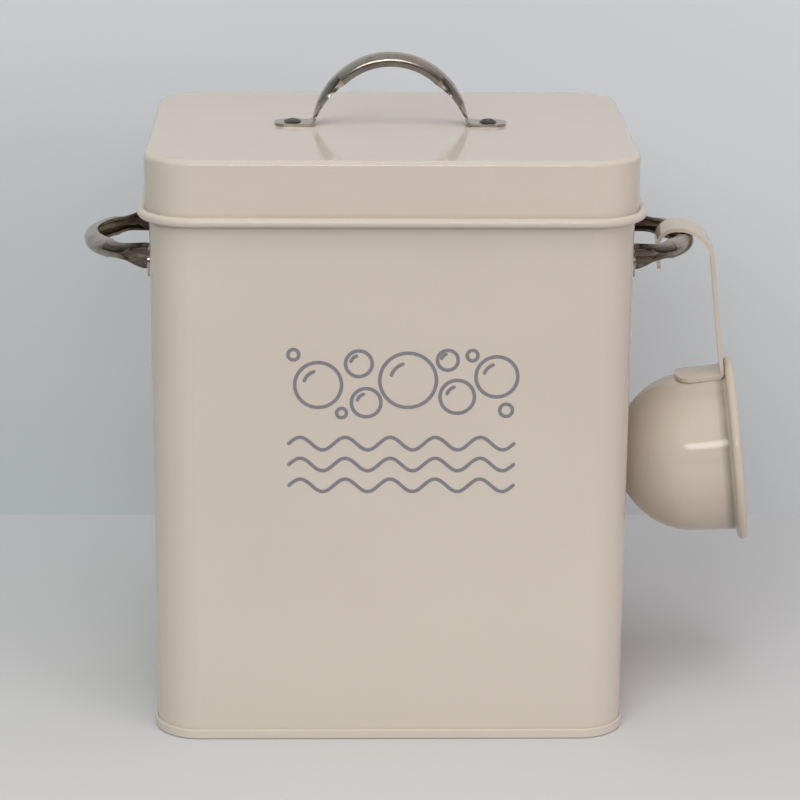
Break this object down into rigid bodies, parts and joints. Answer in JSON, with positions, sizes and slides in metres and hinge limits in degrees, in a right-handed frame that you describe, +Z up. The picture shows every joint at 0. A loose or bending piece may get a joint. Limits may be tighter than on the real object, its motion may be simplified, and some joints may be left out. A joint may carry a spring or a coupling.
{
  "type": "metal laundry powder box",
  "caption": "Cream enamelled steel box for laundry powder with rounded corners, a lift-off lid with a rolled bead, nickel strap handles and a scoop hung on one side handle.",
  "frame": {"origin": "centre of the rectangle that the box stands on, in the plane of the underside of the seam band", "axes": "+X to the right side handle, where the scoop hangs; +Y to the back of the box; +Z up"},
  "size_m": [0.2871, 0.1498, 0.2793],
  "materials": {
    "cream_enamel": "gloss cream powder coat",
    "scoop_enamel": "gloss cream powder coat",
    "handle_nickel": "bright nickel plate with fine brushing",
    "rivet_metal": "dull nickel plate"
  },
  "bodies": {
    "box": {"body_wall": "cream_enamel", "base_plate": "cream_enamel", "left_handle": "handle_nickel", "right_handle": "handle_nickel", "left_rivet_front": "rivet_metal", "left_rivet_back": "rivet_metal", "right_rivet_front": "rivet_metal", "right_rivet_back": "rivet_metal", "scoop_bowl": "scoop_enamel", "scoop_strap": "scoop_enamel"},
    "lid_group": {"lid": "cream_enamel", "lid_handle": "handle_nickel", "lid_rivet_left": "rivet_metal", "lid_rivet_right": "rivet_metal"}
  },
  "joints": [
    {"name": "lid_lift", "type": "slide", "parent": "box", "child": "lid_group", "axis": [0, 0, 1], "range_m": [0, 0.15]}
  ]
}
